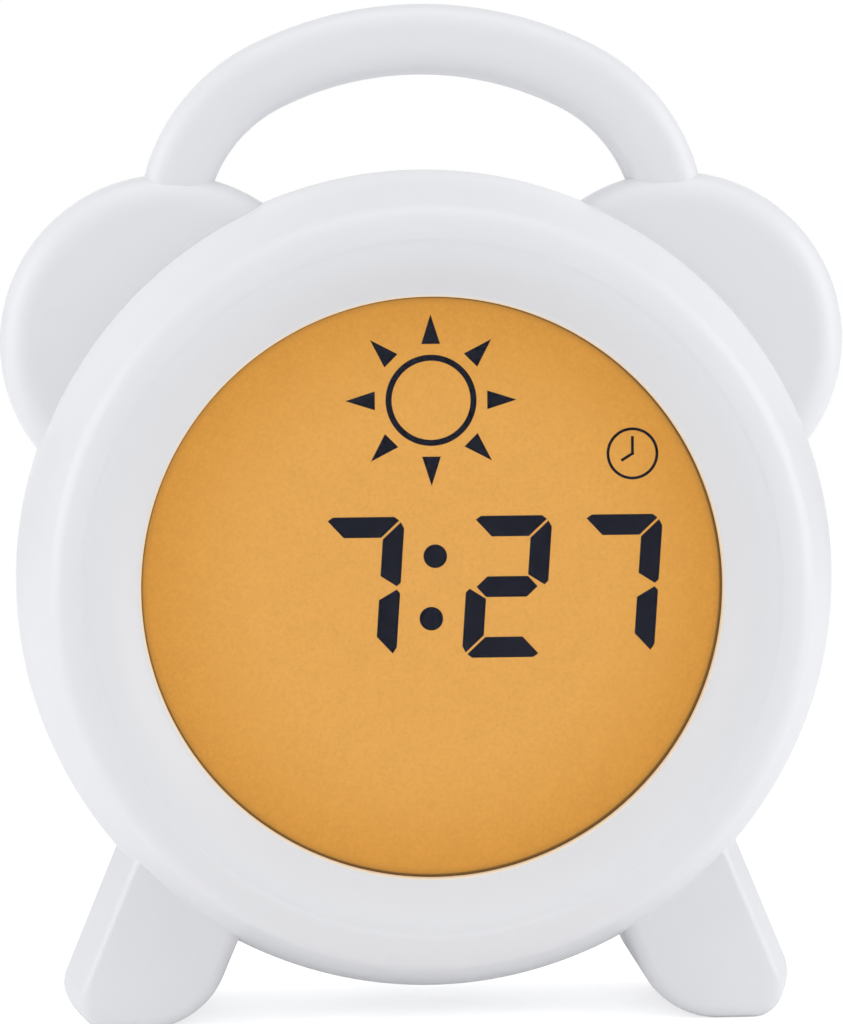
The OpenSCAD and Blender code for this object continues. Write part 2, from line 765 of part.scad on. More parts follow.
// Domed cap, a flange behind the casing's wall and a stem
module button(k) color(grey) facing() button_at(k) {
    dome = 0.5;
    rotate_extrude() polygon(concat(
        [[0, z_stem], [0, z_rear]],
        [for (r = [1:4]) [button_r * 0.8 * r / 4, z_rear + dome * 0.5 * pow(r / 4, 2)]],
        [[button_r, z_rear + dome + 0.2], [button_r, z_in], [button_r + 1.1, z_in],
         [button_r + 1.1, z_in + flange_t], [2, z_in + flange_t], [2, z_stem]]));
}

// Knobs rest at the inner end of their travel
module switch_knob(k) color(grey) facing() {
    side = k == 0 ? 1 : -1;
    translate([side * switch_at[0] - switch_travel / 2, switch_at[1]]) {
        difference() {
            translate([-knob[0] / 2, -knob[1] / 2, z_rear]) cube([knob[0], knob[1], wall + 0.2]);
            for (x = [-1.2, 0, 1.2]) translate([x - groove[0] / 2, -knob[1] / 2 - over, z_rear - over])
                cube([groove[0], knob[1] + 2 * over, over + groove[1]]);
        }
        translate([-knob_plate[0] / 2, -knob_plate[1] / 2, z_in + 0.1]) cube(knob_plate);
        translate([-knob_stem[0] / 2, -knob_stem[1] / 2, z_in + 0.2])
            cube([knob_stem[0], knob_stem[1], z_key - housing_t + 1.2 - z_in]);
    }
}

module switch_housings() color(steel) facing() both_sides() translate(switch_at) difference() {
    run = knob_stem + [switch_travel, 0] + 2 * [fit, fit];
    translate([-housing[0] / 2, -housing[1] / 2, z_key - housing_t])
        cube([housing[0], housing[1], housing_t]);
    translate([-run[0] / 2, -run[1] / 2, z_key - housing_t - over]) cube([run[0], run[1], 2 + over]);
}

module usb_port() color(steel) facing() translate(usb_at) difference() {
    plate(z_key, z_key - z_panel) slot2d(usb_size);
    plate(z_key - usb_back, z_key - z_panel) slot2d(usb_size - 2 * [usb_skin, usb_skin]);
}

module usb_tongue() color(black) facing() {
    front = z_panel + 0.6;
    translate([usb_at[0] - usb_blade[0] / 2, usb_at[1] - usb_blade[1] / 2, front])
        cube([usb_blade[0], usb_blade[1], z_key - usb_back - front]);
}

// ---- Speaker ----

module speaker_frame() color(steel) facing() translate(speaker_at) {
    shoulder = z_in + collar_h;
    cup_in = cup_r - cup_skin;
    back = z_in + speaker_h - cup_back;
    rotate_extrude() polygon([
        [speaker_r - speaker_rim, z_in], [speaker_r, z_in], [speaker_r, z_in + speaker_rim],
        [speaker_r - 2 * speaker_skin, shoulder], [cup_r, shoulder + 0.6 * speaker_skin], [cup_r, back],
        [cup_in, back], [cup_in, shoulder],
        [speaker_r - speaker_rim - 1.2 * speaker_skin, shoulder - cup_skin],
        [speaker_r - speaker_rim, z_in + speaker_skin]]);
}

paper_t = 0.35;

// A paper cone with a rolled surround, glued inside the frame's rim
module speaker_cone() color(black) facing() translate(speaker_at) {
    edge = speaker_r - speaker_rim - 0.1;
    roll = edge - speaker_rim - 0.1;
    cap = 0.21 * speaker_r;
    neck = 0.345 * speaker_r;
    face = [[0, 0.95], [cap, 1.45], [neck, 2.2], [roll, 0.9], [edge, 0.5]];
    rotate_extrude() polygon([for (p = face) [p[0], z_in + p[1]],
                              for (k = [len(face) - 1:-1:0]) [face[k][0], z_in + face[k][1] + paper_t]]);
}

module speaker_magnet() color(steel) facing() translate(speaker_at)
    hole([0, 0], magnet_r, z_in + magnet_start, z_in + speaker_h);

// ---- Leads ----

// A tube of radius r along path, drawn with rings square to it
function along(path, i) = unit(path[min(i + 1, len(path) - 1)] - path[max(i - 1, 0)]);
function ring_at(path, i, r, sides, up) = let (
        t = along(path, i), u = unit(cross(t, up)), v = cross(u, t))
    [for (k = [0:sides - 1]) path[i] + r * (cos(360 * k / sides) * u + sin(360 * k / sides) * v)];

module tube(path, r, up, sides = 8) {
    n = len(path);
    points = [for (i = [0:n - 1]) each ring_at(path, i, r, sides, up)];
    skin = [for (i = [0:n - 2], k = [0:sides - 1]) let (a = i * sides + k, b = i * sides + (k + 1) % sides)
            each [[a, b, b + sides], [a, b + sides, a + sides]]];
    ends = [[for (k = [sides - 1:-1:0]) k], [for (k = [0:sides - 1]) (n - 1) * sides + k]];
    polyhedron(points, concat(skin, ends));
}

// A smooth curve with n steps through four control points
function bend(a, b, c, d, n = 12) = [for (i = [0:n]) let (t = i / n, s = 1 - t)
    s * s * s * a + 3 * s * s * t * b + 3 * s * t * t * c + t * t * t * d];

lead_r = 0.6;
lead_pitch = 4 * lead_r;
lead_end = [0, 0, 1];                                  // a lead leaves and arrives straight
lead_reach = 9;                                        // how far its ends pull the curve along
magnet_tab = 4;                                        // below the speaker's middle
speaker_lead_to = [-4, -12];
battery_lead_from = [20, bay_y + 8];
battery_lead_to = [34, -20];

module lead_pair(a, d) for (s = [-1, 1]) {
    p = a + [s * lead_pitch / 2, 0, 0];
    q = d + [s * lead_pitch / 2, 0, 0];
    run = bend(p + lead_end, p + lead_reach * lead_end, q - lead_reach * lead_end, q - lead_end);
    tube(concat([p], run, [q]), lead_r, [0, 1, 0]);
}

// From the magnet's back to the front board
module speaker_leads() color([0.75, 0.1, 0.1]) facing() lead_pair(
    [speaker_at[0], speaker_at[1] - magnet_tab, z_in + speaker_h],
    [speaker_lead_to[0], speaker_lead_to[1], z_board - board_t]);

// From the bay's floor to the front board
module battery_leads() color(black) facing() lead_pair(
    [battery_lead_from[0], battery_lead_from[1], z_bay_floor + bay_wall],
    [battery_lead_to[0], battery_lead_to[1], z_board - board_t]);

ribbon_w = 12;
ribbon_t = 0.8;
ribbon_low = key_in + 5;                               // height of its end on the key board
ribbon_high = key_in - 1;                              // height of its end on the main board
ribbon_end = 6;                                        // straight stretch at either end

// Flat cable between the two boards
module board_ribbon() color([0.85, 0.85, 0.87]) facing() {
    low = z_key + board_t;
    high = z_board - board_t;
    t = ribbon_t;
    translate([-ribbon_w / 2, 0, 0]) rotate([90, 0, 90]) linear_extrude(ribbon_w) polygon([
        [ribbon_low, low], [ribbon_low + t, low], [ribbon_low + t, low + ribbon_end],
        [ribbon_high + t, high - ribbon_end], [ribbon_high + t, high], [ribbon_high, high],
        [ribbon_high, high - ribbon_end - t / 2], [ribbon_low, low + ribbon_end - t / 2]]);
}

// ---- Power ----

function cell_y(k) = bay_y + (k - 1) * cell_pitch;
function cell_way(k) = k == 1 ? -1 : 1;
bay_end = bay_w / 2 - contact_t - 0.05;                // inner face of the contacts

// Three cells side by side, every second one turned round. The nub meets its contact
module battery_cells() color([0.2, 0.45, 0.3]) facing() for (k = [0:2])
    translate([cell_way(k) * bay_end, cell_y(k), cell_z]) rotate([0, -90 * cell_way(k), 0]) {
        cylinder(r = nub_r, h = nub_l);
        translate([0, 0, nub_l]) cylinder(r = cell_r, h = cell_l - nub_l);
    }

contact_w = 9;
spring_wire = 0.35;
spring_wide = 3.6;                                     // radius of a coil at its contact
spring_narrow = 2;                                     // and at its cell

module battery_contacts() color(steel) facing() for (k = [0:2], s = [-1, 1])
    translate([s * (bay_end + contact_t / 2), cell_y(k), cell_z])
        cube([contact_t, contact_w, contact_w], center = true);

// Cone-shaped coils that press on the flat ends of the cells
module contact_springs() color(steel) facing() for (k = [0:2]) {
    turns = 3;
    steps = 14 * turns;
    rest = spring_wire + 0.02;                         // height of the wire's middle at both ends
    climb = 2 * bay_end - cell_l - 2 * rest;
    coil = [for (i = [0:steps]) let (t = i / steps, a = 360 * turns * t,
                                     r = spring_wide + (spring_narrow - spring_wide) * t)
            [r * cos(a), r * sin(a), rest + climb * t]];
    translate([-cell_way(k) * bay_end, cell_y(k), cell_z]) rotate([0, 90 * cell_way(k), 0])
        tube(coil, spring_wire, [0, 0, 1], 6);
}

module case_screws() color(steel) facing() both_sides() for (at = [ear_screw, foot_screw]) {
    hole(at, screw_head_r, -screw_seat - screw_head_t, -screw_seat);
    hole(at, screw_r, -screw_seat, screw_depth);
}

front_shell();
rear_shell();
battery_door();
screen_lens();
lens_gasket();
lcd_glass();
lcd_segments();
light_guide();
backlight_tray();
led_boards();
backlight_leds();
zebra_strip();
main_board();
board_parts();
board_screws();
key_board();
key_board_screws();
tact_switches();
switch_housings();
usb_port();
usb_tongue();
speaker_frame();
speaker_cone();
speaker_magnet();
board_ribbon();
speaker_leads();
battery_leads();
battery_cells();
battery_contacts();
contact_springs();
case_screws();
for (k = [0:4]) button(k);
for (k = [0:4]) plunger(k);
for (k = [0:1]) switch_knob(k);
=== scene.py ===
"""Looks of a round kids' alarm clock and night light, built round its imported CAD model.

Shapes are worked out in millimetres in the clock's front view: x to the right, h up from the
body's centre and d towards the viewer. place() turns them into Blender's metres.
"""

import json
import math

import bmesh
import bpy
import numpy as np
from mathutils import Matrix, Vector


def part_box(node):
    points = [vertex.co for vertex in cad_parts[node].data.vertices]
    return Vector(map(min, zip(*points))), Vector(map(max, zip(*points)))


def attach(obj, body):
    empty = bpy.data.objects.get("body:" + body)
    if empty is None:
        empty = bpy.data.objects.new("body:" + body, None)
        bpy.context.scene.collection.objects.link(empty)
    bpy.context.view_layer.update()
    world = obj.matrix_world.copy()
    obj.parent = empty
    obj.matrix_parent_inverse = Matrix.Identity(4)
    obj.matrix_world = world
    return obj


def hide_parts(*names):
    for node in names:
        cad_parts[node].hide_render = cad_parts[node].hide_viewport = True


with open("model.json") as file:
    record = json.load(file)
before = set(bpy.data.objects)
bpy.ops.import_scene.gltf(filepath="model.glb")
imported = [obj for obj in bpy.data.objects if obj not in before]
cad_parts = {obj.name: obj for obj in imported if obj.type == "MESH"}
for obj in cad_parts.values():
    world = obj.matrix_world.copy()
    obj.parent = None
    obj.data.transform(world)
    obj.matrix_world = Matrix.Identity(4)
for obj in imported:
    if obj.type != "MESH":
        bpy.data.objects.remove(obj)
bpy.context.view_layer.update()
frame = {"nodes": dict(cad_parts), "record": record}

MM = 0.001
TINY = 1e-6              # a radius under this is a point on the axis

# ---- Driving sizes, in millimetres ----

BODY_R = 61.7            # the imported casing's radius
BELLY_R = 62.9           # radius of the rounder side at the parting plane
BODY_Z = 67.2            # height of the body's centre above the table
FRONT = 25.0             # depths of the two halves, from the parting plane
REAR = 25.0
WALL = 2.4
FRONT_SIDE_R = 46.0      # radius of the bulged side, from the parting plane to either edge
REAR_SIDE_R = 90.0
RIM_EDGE_R = 4.3
LAND_R = 14.0            # radius of the rim's front, which leans outward from the first tilt to the
LAND_TILT = (8, 20)      # second, in degrees, before the edge turns down to the side
REAR_EDGE_R = 8.0
FLAT_RINGS = (45, 30, 15, 0)  # radii at which the flat rear is divided
VALLEY_W = 1.3           # the soft valley where the rim rises from the face, with its depth
VALLEY_DROP = 0.14
VALLEY_DIP = 0.07        # how far the valley sags below a plain rise
ROLL_DROP = 3.65         # how deep the face rolls down to the lip round the screen
ROLL_BEND = 1.15         # the power that shapes the roll
SCREEN_R = 43.4
LIP_T = 1.2
LIP_EDGE = 0.3           # size of the lip's rounded edge
SEAT_T, COLLAR_T = 1.5, 1.5  # depth of the lens's seat, and the collar's wall round it
COLLAR_DROP = 1.75       # how far below the rim's inside the collar meets the face
LENS_LAP = 2.5           # how far the lens reaches in behind the lip
LENS_R = SCREEN_R + LENS_LAP
SIGHT_R = SCREEN_R + 0.3  # the display's outermost ring that shows past the screen's edge
GLOW_W = 0.45            # how far the display's painted glow reaches out from the screen's edge
GLOW_FROM = 10.0         # the painted glow stays in front of this depth
EAR_R, EAR_X, EAR_H, EAR_D, EAR_EDGE_R = 25.8, 38.9, 36.1, 8.0, 5.0
EAR_LIFT = 0.4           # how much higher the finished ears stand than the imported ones
EAR_DOME = 0.3           # how much the middle of an ear stands out
HANDLE_TOP, HANDLE_TOP_R, HANDLE_SIDE_R = 88.0, 58.7, 31.4
HANDLE_TURN, HANDLE_W, HANDLE_D, HANDLE_EDGE_R = 26.6, 10.4, 6.5, 4.0
HANDLE_SINK = 8          # degrees that the handle's ends run on into the ears
FOOT_FRONT, FOOT_REAR = 14.5, 17.0
FOOT_ARC_R, FOOT_ARC_X, TOE_R, TOE_X = 14.0, 43.6, 5.0, 50.3
FOOT_OUT = 0.35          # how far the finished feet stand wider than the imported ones
HEEL_X, HEEL_R, HEEL_LEAN, HEEL_EDGE_R = 43.6, 13.2, 23.0, 2.2
TOE_OUT, TOE_LEAN = 0.9, 22.5
TOE_DRAFT, TOE_EDGE_R, TOE_FRONT_R = 2.6, 1.3, 4.6
DRAFT_BEND = 1.3         # the power by which the toe's draft grows towards the front and the rear
FOOT_ROOT = 28.0         # how far a foot's outline runs up from the toe into the body
ROOM_GAP, ROOM_SLOPE, ROOM_TOP = 0.3, 6.0, 8.0  # the cleared room's distance from the walls
FIT = 0.15
SEAM = 0.3               # half width and depth of the groove where the two halves meet

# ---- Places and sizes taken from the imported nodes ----


def box_mm(node):
    """Lowest and highest corner of a node as x, h, d, in millimetres."""
    lo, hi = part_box(node)
    return (np.array([lo.x / MM, lo.z / MM - BODY_Z, -hi.y / MM]),
            np.array([hi.x / MM, hi.z / MM - BODY_Z, -lo.y / MM]))


def middle(node):
    """The centre of a node's box, in front-view millimetres."""
    lo, hi = box_mm(node)
    return (lo + hi) / 2


# ---- Mesh helpers ----


def place(points):
    """Front-view millimetres (x, h, d) to Blender's metres."""
    p = np.asarray(points, float).reshape(-1, 3)
    return np.c_[p[:, 0], -p[:, 2], p[:, 1] + BODY_Z] * MM


def mesh_object(name, points, faces):
    """A linked object from front-view points, its faces turned outward."""
    mesh = bpy.data.meshes.new(name)
    mesh.from_pydata([tuple(p) for p in place(points)], [], faces)
    work = bmesh.new()
    work.from_mesh(mesh)
    bmesh.ops.recalc_face_normals(work, faces=work.faces)
    work.to_mesh(mesh)
    work.free()
    obj = bpy.data.objects.new(name, mesh)
    bpy.context.scene.collection.objects.link(obj)
    return obj


def loft(name, rings):
    """A closed mesh through rings of equal length, with a face over each end."""
    count, n = len(rings), len(rings[0])
    faces = []
    for i in range(count - 1):
        a, b = i * n, (i + 1) * n
        faces += [(a + k, a + (k + 1) % n, b + (k + 1) % n, b + k) for k in range(n)]
    faces += [tuple(range(n)), tuple(range((count - 1) * n, count * n))]
    return mesh_object(name, np.concatenate(rings), faces)


def lathe(name, profile, centre=(0, 0), steps=192):
    """Turns (radius, d) points about the axis through centre. A radius of 0 closes the mesh."""
    turn = np.linspace(0, 2 * math.pi, steps, endpoint=False)
    points, rows, faces = [], [], []
    for r, d in profile:
        angles = turn if r > TINY else [0]
        rows.append((len(points), len(angles)))
        points += [(centre[0] + r * math.cos(a), centre[1] + r * math.sin(a), d) for a in angles]
    for (a, na), (b, nb) in zip(rows, rows[1:]):
        for k in range(steps):
            j = (k + 1) % steps
            ring = [a + k, a + j] if na > 1 else [a]
            ring += [b + j, b + k] if nb > 1 else [b]
            if len(ring) > 2:
                faces.append(tuple(ring))
    return mesh_object(name, points, faces)


def arc(c, r, a, b, n=24):
    """n + 1 points of an arc about c from angle a to angle b, in degrees."""
    t = np.radians(np.linspace(a, b, n + 1))
    return [(c[0] + r * math.cos(x), c[1] + r * math.sin(x)) for x in t]


def prism(name, outline, d0, d1, flare=0.0):
    """An outline carried from d0 to d1. Its scaled mouth at d0 is flare wider on all sides."""
    o = np.array(outline, float)
    rings = [np.c_[o, np.full(len(o), d)] for d in (d0, d1)]
    if flare:
        mid = (o.min(0) + o.max(0)) / 2
        half = (o.max(0) - o.min(0)) / 2
        wide = mid + (o - mid) * (half + flare) / half
        step = math.copysign(flare, d1 - d0)
        rings = [np.c_[wide, np.full(len(o), d0 - step)], np.c_[wide, np.full(len(o), d0)],
                 np.c_[o, np.full(len(o), d0 + step)], np.c_[o, np.full(len(o), d1)]]
    return loft(name, rings)


def rounded_box(w, h, r, centre=(0, 0), n=6):
    """Outline of a rectangle with round corners."""
    cx, cy = centre
    x, y = w / 2 - r, h / 2 - r
    corners = [(x, y, 0), (-x, y, 90), (-x, -y, 180), (x, -y, 270)]
    return [p for a, b, t in corners for p in arc((cx + a, cy + b), r, t, t + 90, n)]


def combine(obj, other, operation):
    """Applies a boolean of obj with other, and removes other."""
    mod = obj.modifiers.new("cut", "BOOLEAN")
    mod.operation = operation
    mod.solver = "MANIFOLD"
    mod.object = other
    apply_modifiers(obj)
    mesh = other.data
    bpy.data.objects.remove(other)
    bpy.data.meshes.remove(mesh)
    return obj


def apply_modifiers(obj):
    """Replaces an object's mesh by what its modifiers make of it."""
    graph = bpy.context.evaluated_depsgraph_get()
    graph.update()
    mesh = bpy.data.meshes.new_from_object(obj.evaluated_get(graph))
    old = obj.data
    obj.modifiers.clear()
    obj.data = mesh
    bpy.data.meshes.remove(old)


def smooth(obj, angle=28):
    """Smooth shading that stays crisp at edges sharper than angle."""
    obj.data.polygons.foreach_set("use_smooth", [True] * len(obj.data.polygons))
    obj.data.set_sharp_from_angle(angle=math.radians(angle))


# ---- Materials ----


def set_sockets(node, values):
    """Sets constants on a node's own sockets, by their name or number."""
    for socket, value in values.items():
        node.inputs[socket].default_value = value


def add_node(nodes, kind, operation=None, values=None):
    """Adds a shader node with its operation and the constants of its sockets."""
    node = nodes.new("ShaderNode" + kind)
    if operation:
        node.operation = operation
    set_sockets(node, values or {})
    return node


def new_material(name):
    """A material that holds a Principled shader and its output."""
    mat = bpy.data.materials.new(name)
    mat.use_nodes = True
    nodes = mat.node_tree.nodes
    nodes.clear()
    out = add_node(nodes, "OutputMaterial")
    shader = add_node(nodes, "BsdfPrincipled")
    mat.node_tree.links.new(shader.outputs["BSDF"], out.inputs["Surface"])
    return mat, shader


def srgb(r, g, b):
    """An 8-bit display colour as linear light."""
    def one(v):
        v /= 255
        return v / 12.92 if v <= 0.04045 else ((v + 0.055) / 1.055) ** 2.4
    return (one(r), one(g), one(b), 1)


def object_noise(mat, scale, detail=2.0, rough=0.5):
    """Noise fixed to the object, scale in grains per metre."""
    nodes, links = mat.node_tree.nodes, mat.node_tree.links
    coords = add_node(nodes, "TexCoord")
    noise = add_node(nodes, "TexNoise", None, {"Scale": scale, "Detail": detail, "Roughness": rough})
    links.new(coords.outputs["Object"], noise.inputs["Vector"])
    return noise


def vary(mat, source, low, high):
    """A colour ramp between two colours, led by a noise's value round its middle."""
    nodes, links = mat.node_tree.nodes, mat.node_tree.links
    ramp = add_node(nodes, "ValToRGB")
    for element, at, colour in zip(ramp.color_ramp.elements, (0.35, 0.65), (low, high)):
        element.position = at
        element.color = colour
    links.new(source.outputs["Fac"], ramp.inputs["Fac"])
    return ramp


def wobble(mat, noise, share):
    """A factor round 1 that a noise's middle values move up or down by a share."""
    nodes, links = mat.node_tree.nodes, mat.node_tree.links
    band = add_node(nodes, "MapRange", None, {"From Min": 0.3, "From Max": 0.7,
                                              "To Min": 1 - share, "To Max": 1 + share})
    links.new(noise.outputs["Fac"], band.inputs["Value"])
    return band.outputs["Result"]


def surface(name, colour, roughness=0.4, spread=0.03, grain=9000, bump=0.03, depth=0.00002,
            metallic=0.0, patch=60, gloss_level=0.5):
    """A moulded, painted or metal surface: slight colour patches, varied gloss and a fine grain."""
    mat, shader = new_material(name)
    nodes, links = mat.node_tree.nodes, mat.node_tree.links
    low = tuple(c * (1 - spread) for c in colour[:3]) + (1,)
    high = tuple(min(c * (1 + spread), 1) for c in colour[:3]) + (1,)
    patches = object_noise(mat, patch, 3)
    tint = vary(mat, patches, low, high)
    links.new(tint.outputs["Color"], shader.inputs["Base Color"])
    gloss_spread = 0.08
    gloss = add_node(nodes, "MapRange", None, {"To Min": roughness * (1 - gloss_spread),
                                               "To Max": roughness * (1 + gloss_spread)})
    links.new(patches.outputs["Fac"], gloss.inputs["Value"])
    links.new(gloss.outputs["Result"], shader.inputs["Roughness"])
    fine = object_noise(mat, grain, 2)
    lift = add_node(nodes, "Bump", None, {"Strength": bump, "Distance": depth})
    links.new(fine.outputs["Fac"], lift.inputs["Height"])
    links.new(lift.outputs["Normal"], shader.inputs["Normal"])
    set_sockets(shader, {"Metallic": metallic, "Specular IOR Level": gloss_level})
    return mat


def axis_distance(mat):
    """Distance from the clock's axis, in metres, fixed to the object."""
    nodes, links = mat.node_tree.nodes, mat.node_tree.links
    coords = add_node(nodes, "TexCoord")
    shift = add_node(nodes, "VectorMath", "SUBTRACT", {1: (0, 0, BODY_Z * MM)})
    flat = add_node(nodes, "VectorMath", "MULTIPLY", {1: (1, 0, 1)})
    size = add_node(nodes, "VectorMath", "LENGTH")
    links.new(coords.outputs["Object"], shift.inputs[0])
    links.new(shift.outputs["Vector"], flat.inputs[0])
    links.new(flat.outputs["Vector"], size.inputs[0])
    return size.outputs["Value"]


def painted_edge_glow(mat):
    """Painted light from the display on the screen's edge: a painted cream glow that fades out within
    a millimetre.
    """
    nodes, links = mat.node_tree.nodes, mat.node_tree.links
    shader = next(n for n in nodes if n.type == "BSDF_PRINCIPLED")
    near = add_node(nodes, "MapRange", None, {"From Min": (SCREEN_R + GLOW_W) * MM,
                                              "From Max": SCREEN_R * MM})
    near.interpolation_type = "SMOOTHSTEP"
    links.new(axis_distance(mat), near.inputs["Value"])
    side = add_node(nodes, "TexCoord")
    split = add_node(nodes, "SeparateXYZ")
    front = add_node(nodes, "Math", "LESS_THAN", {1: -GLOW_FROM * MM})
    both = add_node(nodes, "Math", "MULTIPLY")
    glow = add_node(nodes, "VectorMath", "SCALE", {0: srgb(255, 214, 160)[:3]})
    links.new(side.outputs["Object"], split.inputs["Vector"])
    links.new(split.outputs["Y"], front.inputs[0])
    links.new(near.outputs["Result"], both.inputs[0])
    links.new(front.outputs["Value"], both.inputs[1])
    links.new(both.outputs["Value"], glow.inputs["Scale"])
    links.new(glow.outputs["Vector"], shader.inputs["Emission Color"])
    shader.inputs["Emission Strength"].default_value = 0.16
    # Painted glow: the base colour takes a warm tint where the display's light is painted on the
    # edge.
    plain = shader.inputs["Base Color"].links[0].from_socket
    warm = add_node(nodes, "Mix")
    warm.data_type = "RGBA"
    warm.blend_type = "MULTIPLY"
    warm.inputs["B"].default_value = (1.0, 0.86, 0.66, 1)
    links.new(both.outputs["Value"], warm.inputs["Factor"])
    links.new(plain, warm.inputs["A"])
    links.new(warm.outputs["Result"], shader.inputs["Base Color"])


def amber_ramp(mat):
    """The display's colour against the distance from its middle, as a share of its sight radius."""
    nodes, links = mat.node_tree.nodes, mat.node_tree.links
    share = add_node(nodes, "Math", "DIVIDE", {1: SIGHT_R * MM})
    links.new(axis_distance(mat), share.inputs[0])
    ramp = add_node(nodes, "ValToRGB")
    # Darker towards the edge. The stops past 0.987 paint shade: a thin dark line where the screen's
    # edge shades the display.
    stops = [(0.0, (228, 168, 89)), (0.62, (227, 167, 86)), (0.80, (222, 160, 77)),
             (0.93, (216, 152, 68)), (0.968, (213, 150, 66)), (0.987, (196, 138, 63)),
             (0.9895, (160, 114, 57)), (0.9915, (104, 78, 46)), (1.0, (96, 70, 44))]
    elements = ramp.color_ramp.elements
    while len(elements) < len(stops):
        elements.new(0.5)
    for element, (at, colour) in zip(elements, stops):
        element.position = at
        element.color = srgb(*colour)
    links.new(share.outputs["Value"], ramp.inputs["Fac"])
    return ramp.outputs["Color"]


def amber_glass():
    """Backlit display glass: even in the middle, darker towards its edge, with painted shade in a
    thin dark line at the edge, and a fine speckle.
    """
    mat, shader = new_material("amber_display")
    nodes, links = mat.node_tree.nodes, mat.node_tree.links
    both = add_node(nodes, "Math", "MULTIPLY")
    links.new(wobble(mat, object_noise(mat, 2600, 3, 0.7), 0.08), both.inputs[0])
    links.new(wobble(mat, object_noise(mat, 260, 3, 0.6), 0.015), both.inputs[1])
    glow = add_node(nodes, "VectorMath", "SCALE")
    links.new(amber_ramp(mat), glow.inputs[0])
    links.new(both.outputs["Value"], glow.inputs["Scale"])
    links.new(glow.outputs["Vector"], shader.inputs["Emission Color"])
    set_sockets(shader, {"Emission Strength": 0.9, "Base Color": (0.10, 0.045, 0.006, 1),
                         "Roughness": 0.6, "Specular IOR Level": 0.1})
    return mat


def clear_lens():
    """The thin clear window, with a barely uneven gloss."""
    mat, shader = new_material("clear_lens")
    nodes, links = mat.node_tree.nodes, mat.node_tree.links
    haze = object_noise(mat, 800, 2)
    rough = add_node(nodes, "MapRange", None, {"To Min": 0.02, "To Max": 0.05})
    links.new(haze.outputs["Fac"], rough.inputs["Value"])
    links.new(rough.outputs["Result"], shader.inputs["Roughness"])
    set_sockets(shader, {"Base Color": (1, 1, 1, 1), "Transmission Weight": 1, "IOR": 1.08})
    return mat


# ---- Camera and studio ----


def make_camera():
    """The photograph's view, with its small roll. The sensor's long side is the frame's height."""
    azimuth, elevation, roll = (math.radians(v) for v in (-3.6, 3.653, 0.45))
    distance, focal_px, frame_px = 529.12 * MM, 3418.85, 1024
    target = Vector((-0.40, 0, 77.35)) * MM
    back = Vector((math.sin(azimuth) * math.cos(elevation), -math.cos(azimuth) * math.cos(elevation),
                   math.sin(elevation)))
    right = Vector((math.cos(azimuth), math.sin(azimuth), 0))
    up = back.cross(right)
    side = right * math.cos(roll) - up * math.sin(roll)
    top = right * math.sin(roll) + up * math.cos(roll)
    data = bpy.data.cameras.new("camera")
    data.sensor_width = 36
    data.lens = focal_px / frame_px * data.sensor_width
    data.clip_start, data.clip_end = 0.01, 20
    camera = bpy.data.objects.new("camera", data)
    turn = Matrix((side, top, back)).transposed().to_4x4()
    camera.matrix_world = Matrix.Translation(target + back * distance) @ turn
    bpy.context.scene.collection.objects.link(camera)
    bpy.context.scene.camera = camera


def area_light(name, at, aim, size, power):
    """A rectangular lamp that faces a point, in metres and watts."""
    data = bpy.data.lights.new(name, "AREA")
    data.shape = "RECTANGLE"
    data.size, data.size_y = size
    data.energy = power
    light = bpy.data.objects.new(name, data)
    light.location = at
    light.rotation_mode = "QUATERNION"
    light.rotation_quaternion = (Vector(aim) - Vector(at)).to_track_quat("-Z", "Y")
    bpy.context.scene.collection.objects.link(light)


def make_lamps():
    """Four large soft lamps: one on each side, one above and one behind."""
    aim = (0, 0, 0.07)
    area_light("left", (-0.85, -0.22, 0.30), aim, (0.6, 0.8), 2.9)
    area_light("right", (0.85, -0.22, 0.30), aim, (0.6, 0.8), 3.2)
    area_light("top", (0.0, -0.10, 0.85), aim, (0.9, 0.5), 1.5)
    area_light("behind", (0.0, 0.9, 0.35), aim, (1.0, 0.6), 1.5)


def make_world():
    """White to the camera. The light it gives falls off from in front of the clock to behind it."""
    front_light, rear_light = 0.73, 0.42
    world = bpy.data.worlds.new("studio")
    bpy.context.scene.world = world
    world.use_nodes = True
    nodes, links = world.node_tree.nodes, world.node_tree.links
    nodes.clear()
    out = add_node(nodes, "OutputWorld")
    seen = add_node(nodes, "Background", None, {"Color": (1, 1, 1, 1)})
    ambient = add_node(nodes, "Background", None, {"Color": (0.975, 0.985, 1.0, 1)})
    aim = add_node(nodes, "TexCoord")
    split = add_node(nodes, "SeparateXYZ")
    soft = add_node(nodes, "MapRange", None, {"From Min": -1, "From Max": 1,
                                              "To Min": front_light, "To Max": rear_light})
    links.new(aim.outputs["Generated"], split.inputs["Vector"])
    links.new(split.outputs["Y"], soft.inputs["Value"])
    links.new(soft.outputs["Result"], ambient.inputs["Strength"])
    path = add_node(nodes, "LightPath")
    mix = add_node(nodes, "MixShader")
    links.new(path.outputs["Is Camera Ray"], mix.inputs["Fac"])
    links.new(ambient.outputs["Background"], mix.inputs[1])
    links.new(seen.outputs["Background"], mix.inputs[2])
    links.new(mix.outputs["Shader"], out.inputs["Surface"])


